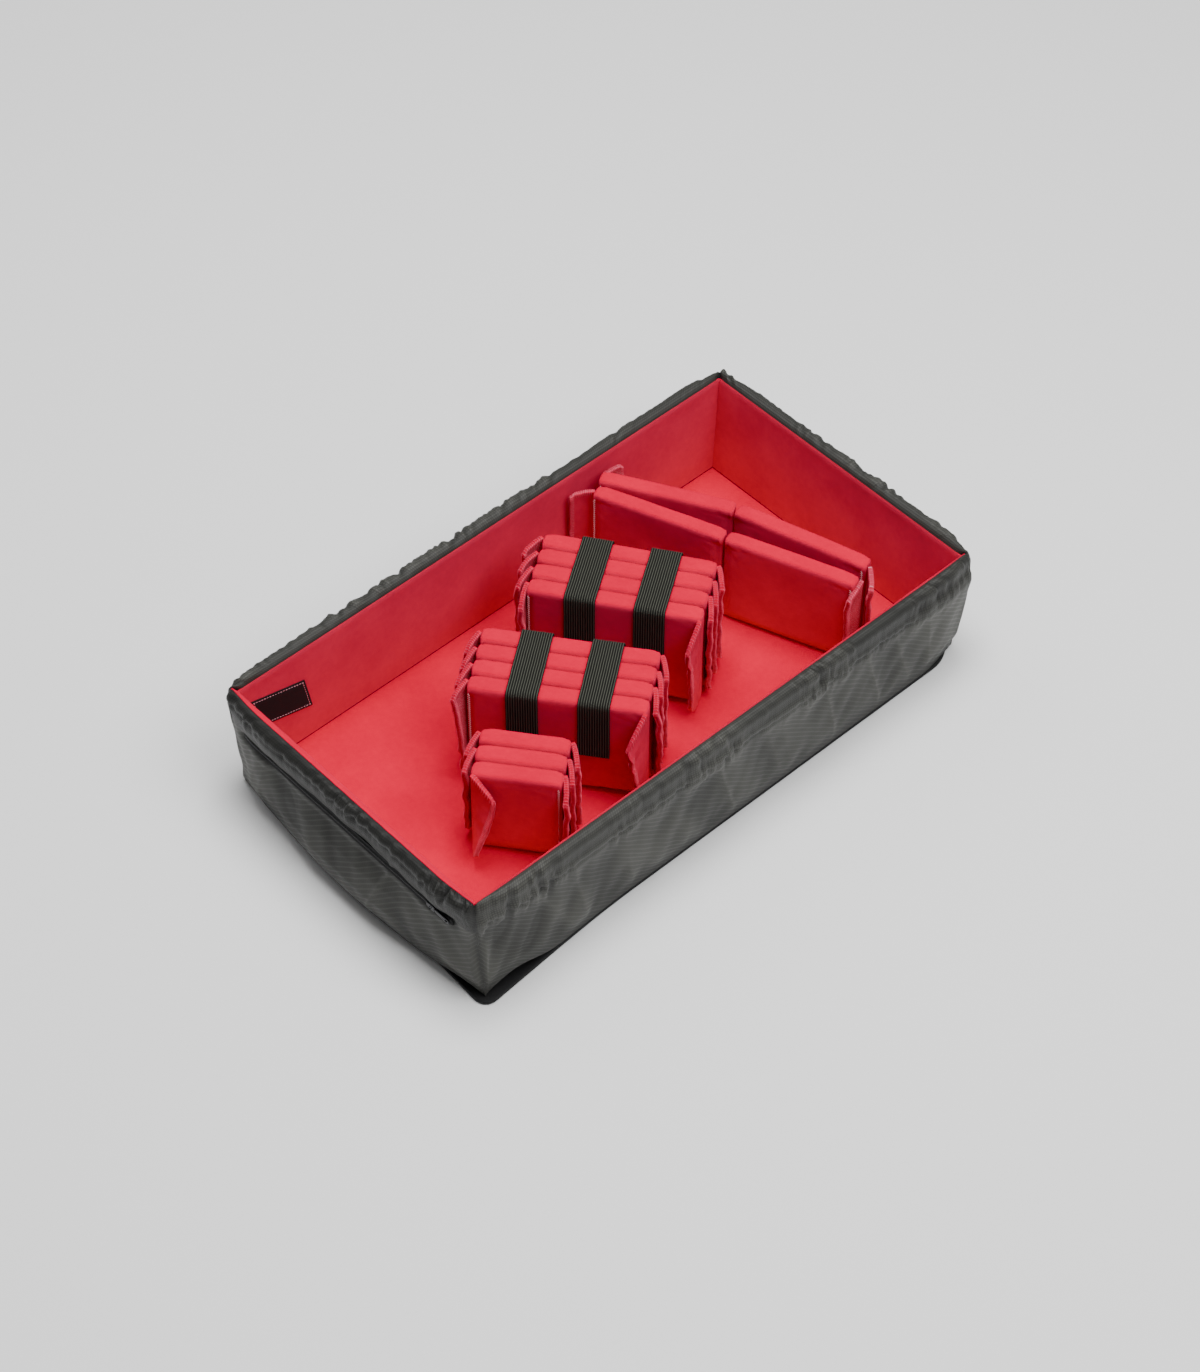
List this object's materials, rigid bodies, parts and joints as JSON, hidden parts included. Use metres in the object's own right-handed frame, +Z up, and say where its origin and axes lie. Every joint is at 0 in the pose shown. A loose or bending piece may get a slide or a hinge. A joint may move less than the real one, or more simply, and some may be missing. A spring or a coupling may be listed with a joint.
{
  "type": "padded case divider",
  "caption": "Open padded tub with red loop lining and loose hook-flapped dividers that stand and stick in it, for packing a camera in a hard case.",
  "frame": {"origin": "middle of the outline at the underside of the base board", "axes": "+X along the tub away from the zip, +Y towards the patch wall, +Z up"},
  "size_m": [0.523, 0.29, 0.1094],
  "materials": {
    "loop_cloth": "brushed loop pile",
    "hook_cloth": "woven, hook side matt",
    "outer_nylon": "ripstop weave, slight sheen",
    "elastic": "ribbed elastic",
    "foam": "closed-cell foam",
    "board": "cloth-faced plastic sheet",
    "zip_tape": "woven tape with coil",
    "zip_metal": "gunmetal",
    "patch": "fine weave"
  },
  "bodies": {
    "tub": {"base_board": "board", "floor_foam": "foam", "lining": "loop_cloth", "front_wall_foam": "foam", "back_wall_foam": "foam", "left_wall_foam": "foam", "right_wall_foam": "foam", "front_cover": "outer_nylon", "back_cover": "outer_nylon", "left_cover": "outer_nylon", "right_cover": "outer_nylon", "zip_tape": "zip_tape", "patch": "patch"},
    "zip_slider_body": {"zip_slider": "zip_metal"},
    "zip_pull_body": {"zip_pull": "zip_metal"},
    "far_bundle": {"far_divider_1": "loop_cloth", "far_divider_2": "loop_cloth", "far_divider_3": "loop_cloth", "far_divider_4": "loop_cloth"},
    "middle_bundle": {"middle_divider_1": "loop_cloth", "middle_divider_2": "loop_cloth", "middle_divider_3": "loop_cloth", "middle_divider_4": "loop_cloth"},
    "small_divider_1_body": {"small_divider_1": "loop_cloth"},
    "small_divider_2_body": {"small_divider_2": "loop_cloth"},
    "small_divider_3_body": {"small_divider_3": "loop_cloth"},
    "long_front_left_body": {"long_front_left_panel": "loop_cloth"},
    "long_front_right_body": {"long_front_right_panel": "loop_cloth"},
    "long_back_left_body": {"long_back_left_panel": "loop_cloth"},
    "long_back_right_body": {"long_back_right_panel": "loop_cloth"},
    "far_left_strap_body": {"far_left_strap": "elastic"},
    "far_right_strap_body": {"far_right_strap": "elastic"},
    "middle_left_strap_body": {"middle_left_strap": "elastic"},
    "middle_right_strap_body": {"middle_right_strap": "elastic"},
    "far_divider_1_left_flap_body": {"far_divider_1_left_flap": "hook_cloth"},
    "far_divider_2_left_flap_body": {"far_divider_2_left_flap": "hook_cloth"},
    "far_divider_3_left_flap_body": {"far_divider_3_left_flap": "hook_cloth"},
    "far_divider_4_left_flap_body": {"far_divider_4_left_flap": "hook_cloth"},
    "far_divider_1_right_flap_body": {"far_divider_1_right_flap": "hook_cloth"},
    "far_divider_2_right_flap_body": {"far_divider_2_right_flap": "hook_cloth"},
    "far_divider_3_right_flap_body": {"far_divider_3_right_flap": "hook_cloth"},
    "far_divider_4_right_flap_body": {"far_divider_4_right_flap": "hook_cloth"},
    "middle_divider_1_left_flap_body": {"middle_divider_1_left_flap": "hook_cloth"},
    "middle_divider_2_left_flap_body": {"middle_divider_2_left_flap": "hook_cloth"},
    "middle_divider_3_left_flap_body": {"middle_divider_3_left_flap": "hook_cloth"},
    "middle_divider_4_left_flap_body": {"middle_divider_4_left_flap": "hook_cloth"},
    "middle_divider_1_right_flap_body": {"middle_divider_1_right_flap": "hook_cloth"},
    "middle_divider_2_right_flap_body": {"middle_divider_2_right_flap": "hook_cloth"},
    "middle_divider_3_right_flap_body": {"middle_divider_3_right_flap": "hook_cloth"},
    "middle_divider_4_right_flap_body": {"middle_divider_4_right_flap": "hook_cloth"},
    "small_divider_1_left_flap_body": {"small_divider_1_left_flap": "hook_cloth"},
    "small_divider_2_left_flap_body": {"small_divider_2_left_flap": "hook_cloth"},
    "small_divider_3_left_flap_body": {"small_divider_3_left_flap": "hook_cloth"},
    "small_divider_1_right_flap_body": {"small_divider_1_right_flap": "hook_cloth"},
    "small_divider_2_right_flap_body": {"small_divider_2_right_flap": "hook_cloth"},
    "small_divider_3_right_flap_body": {"small_divider_3_right_flap": "hook_cloth"},
    "long_front_left_flap_body": {"long_front_left_flap": "hook_cloth"},
    "long_front_right_flap_body": {"long_front_right_flap": "hook_cloth"},
    "long_back_left_flap_body": {"long_back_left_flap": "hook_cloth"},
    "long_back_right_flap_body": {"long_back_right_flap": "hook_cloth"}
  },
  "joints": [
    {"name": "zip_slide", "type": "slide", "parent": "tub", "child": "zip_slider_body", "axis": [0, 1, 0], "range_m": [0, 0.2]},
    {"name": "zip_pull_swing", "type": "hinge", "parent": "zip_slider_body", "child": "zip_pull_body", "pos_m": [-0.25846, -0.1025, 0.073], "axis": [0, 0, -1], "range_deg": [0, 90]},
    {"name": "far_bundle_lift", "type": "slide", "parent": "tub", "child": "far_bundle", "axis": [0, 0, 1], "range_m": [0, 0.11]},
    {"name": "middle_bundle_lift", "type": "slide", "parent": "tub", "child": "middle_bundle", "axis": [0, 0, 1], "range_m": [0, 0.11]},
    {"name": "small_divider_1_lift", "type": "slide", "parent": "tub", "child": "small_divider_1_body", "axis": [0, 0, 1], "range_m": [0, 0.1]},
    {"name": "small_divider_2_lift", "type": "slide", "parent": "tub", "child": "small_divider_2_body", "axis": [0, 0, 1], "range_m": [0, 0.1]},
    {"name": "small_divider_3_lift", "type": "slide", "parent": "tub", "child": "small_divider_3_body", "axis": [0, 0, 1], "range_m": [0, 0.1]},
    {"name": "long_front_lift", "type": "slide", "parent": "tub", "child": "long_front_left_body", "axis": [0, 0, 1], "range_m": [0, 0.1]},
    {"name": "long_back_lift", "type": "slide", "parent": "tub", "child": "long_back_left_body", "axis": [0, 0, 1], "range_m": [0, 0.1]},
    {"name": "long_front_crease_fold", "type": "hinge", "parent": "long_front_left_body", "child": "long_front_right_body", "pos_m": [0.13407, 0.00838, 0.0091], "axis": [0, 0, 1], "range_deg": [-8, 0]},
    {"name": "long_back_crease_fold", "type": "hinge", "parent": "long_back_left_body", "child": "long_back_right_body", "pos_m": [0.16045, 0.02431, 0.0091], "axis": [0, 0, 1], "range_deg": [0, 14]},
    {"name": "far_left_strap_off", "type": "slide", "parent": "far_bundle", "child": "far_left_strap_body", "axis": [0, 0, 1], "range_m": [0, 0.062]},
    {"name": "far_right_strap_off", "type": "slide", "parent": "far_bundle", "child": "far_right_strap_body", "axis": [0, 0, 1], "range_m": [0, 0.062]},
    {"name": "middle_left_strap_off", "type": "slide", "parent": "middle_bundle", "child": "middle_left_strap_body", "axis": [0, 0, 1], "range_m": [0, 0.062]},
    {"name": "middle_right_strap_off", "type": "slide", "parent": "middle_bundle", "child": "middle_right_strap_body", "axis": [0, 0, 1], "range_m": [0, 0.062]},
    {"name": "far_divider_1_left_flap_fold", "type": "hinge", "parent": "far_bundle", "child": "far_divider_1_left_flap_body", "pos_m": [0.02255, 0.09606, 0.01151], "axis": [0, 0, 1], "range_deg": [-90, 9]},
    {"name": "far_divider_2_left_flap_fold", "type": "hinge", "parent": "far_bundle", "child": "far_divider_2_left_flap_body", "pos_m": [0.00919, 0.08691, 0.01151], "axis": [0, 0, 1], "range_deg": [-20, 8]},
    {"name": "far_divider_3_left_flap_fold", "type": "hinge", "parent": "far_bundle", "child": "far_divider_3_left_flap_body", "pos_m": [-0.00417, 0.07775, 0.01151], "axis": [0, 0, 1], "range_deg": [-20, 5]},
    {"name": "far_divider_4_left_flap_fold", "type": "hinge", "parent": "far_bundle", "child": "far_divider_4_left_flap_body", "pos_m": [-0.01753, 0.06858, 0.01151], "axis": [0, 0, 1], "range_deg": [-18, 19]},
    {"name": "far_divider_1_right_flap_fold", "type": "hinge", "parent": "far_bundle", "child": "far_divider_1_right_flap_body", "pos_m": [0.10114, -0.0173, 0.01151], "axis": [0, 0, 1], "range_deg": [-2.5, 90]},
    {"name": "far_divider_2_right_flap_fold", "type": "hinge", "parent": "far_bundle", "child": "far_divider_2_right_flap_body", "pos_m": [0.08778, -0.02646, 0.01151], "axis": [0, 0, 1], "range_deg": [-1.5, 11]},
    {"name": "far_divider_3_right_flap_fold", "type": "hinge", "parent": "far_bundle", "child": "far_divider_3_right_flap_body", "pos_m": [0.07441, -0.03562, 0.01151], "axis": [0, 0, 1], "range_deg": [-8, 8]},
    {"name": "far_divider_4_right_flap_fold", "type": "hinge", "parent": "far_bundle", "child": "far_divider_4_right_flap_body", "pos_m": [0.05092, -0.04912, 0.01151], "axis": [0, 0, 1], "range_deg": [-30, 45]},
    {"name": "middle_divider_1_left_flap_fold", "type": "hinge", "parent": "middle_bundle", "child": "middle_divider_1_left_flap_body", "pos_m": [-0.07713, 0.05485, 0.01151], "axis": [0, 0, 1], "range_deg": [-90, 5]},
    {"name": "middle_divider_2_left_flap_fold", "type": "hinge", "parent": "middle_bundle", "child": "middle_divider_2_left_flap_body", "pos_m": [-0.09005, 0.04508, 0.01151], "axis": [0, 0, 1], "range_deg": [-17, 4]},
    {"name": "middle_divider_3_left_flap_fold", "type": "hinge", "parent": "middle_bundle", "child": "middle_divider_3_left_flap_body", "pos_m": [-0.10297, 0.0353, 0.01151], "axis": [0, 0, 1], "range_deg": [-16, 4]},
    {"name": "middle_divider_4_left_flap_fold", "type": "hinge", "parent": "middle_bundle", "child": "middle_divider_4_left_flap_body", "pos_m": [-0.11589, 0.02553, 0.01151], "axis": [0, 0, 1], "range_deg": [-15, 19]},
    {"name": "middle_divider_1_right_flap_fold", "type": "hinge", "parent": "middle_bundle", "child": "middle_divider_1_right_flap_body", "pos_m": [0.0067, -0.05467, 0.01151], "axis": [0, 0, 1], "range_deg": [-2.5, 90]},
    {"name": "middle_divider_2_right_flap_fold", "type": "hinge", "parent": "middle_bundle", "child": "middle_divider_2_right_flap_body", "pos_m": [-0.00621, -0.06445, 0.01151], "axis": [0, 0, 1], "range_deg": [-1, 12]},
    {"name": "middle_divider_3_right_flap_fold", "type": "hinge", "parent": "middle_bundle", "child": "middle_divider_3_right_flap_body", "pos_m": [-0.01913, -0.07423, 0.01151], "axis": [0, 0, 1], "range_deg": [-8, 8]},
    {"name": "middle_divider_4_right_flap_fold", "type": "hinge", "parent": "middle_bundle", "child": "middle_divider_4_right_flap_body", "pos_m": [-0.04198, -0.0888, 0.01151], "axis": [0, 0, 1], "range_deg": [-22, 45]},
    {"name": "small_divider_1_left_flap_fold", "type": "hinge", "parent": "small_divider_1_body", "child": "small_divider_1_left_flap_body", "pos_m": [-0.13633, -0.0108, 0.01121], "axis": [0, 0, 1], "range_deg": [-90, 2]},
    {"name": "small_divider_2_left_flap_fold", "type": "hinge", "parent": "small_divider_2_body", "child": "small_divider_2_left_flap_body", "pos_m": [-0.14894, -0.02064, 0.01121], "axis": [0, 0, 1], "range_deg": [-12, 9]},
    {"name": "small_divider_3_left_flap_fold", "type": "hinge", "parent": "small_divider_3_body", "child": "small_divider_3_left_flap_body", "pos_m": [-0.16813, -0.03813, 0.01121], "axis": [0, 0, 1], "range_deg": [-60, 13]},
    {"name": "small_divider_1_right_flap_fold", "type": "hinge", "parent": "small_divider_1_body", "child": "small_divider_1_right_flap_body", "pos_m": [-0.09297, -0.06501, 0.01121], "axis": [0, 0, 1], "range_deg": [-4, 90]},
    {"name": "small_divider_2_right_flap_fold", "type": "hinge", "parent": "small_divider_2_body", "child": "small_divider_2_right_flap_body", "pos_m": [-0.10559, -0.07485, 0.01121], "axis": [0, 0, 1], "range_deg": [-2.5, 15]},
    {"name": "small_divider_3_right_flap_fold", "type": "hinge", "parent": "small_divider_3_body", "child": "small_divider_3_right_flap_body", "pos_m": [-0.11819, -0.08471, 0.01121], "axis": [0, 0, 1], "range_deg": [-8, 12]},
    {"name": "long_front_left_flap_fold", "type": "hinge", "parent": "long_front_left_body", "child": "long_front_left_flap_body", "pos_m": [0.09403, 0.11445, 0.01126], "axis": [0, 0, 1], "range_deg": [-6, 60]},
    {"name": "long_front_right_flap_fold", "type": "hinge", "parent": "long_front_right_body", "child": "long_front_right_flap_body", "pos_m": [0.17961, -0.0944, 0.01126], "axis": [0, 0, 1], "range_deg": [0, 30]},
    {"name": "long_back_left_flap_fold", "type": "hinge", "parent": "long_back_left_body", "child": "long_back_left_flap_body", "pos_m": [0.1123, 0.12328, 0.01126], "axis": [0, 0, 1], "range_deg": [-30, 10]},
    {"name": "long_back_right_flap_fold", "type": "hinge", "parent": "long_back_right_body", "child": "long_back_right_flap_body", "pos_m": [0.19445, -0.08829, 0.01126], "axis": [0, 0, 1], "range_deg": [-6, 20]}
  ]
}
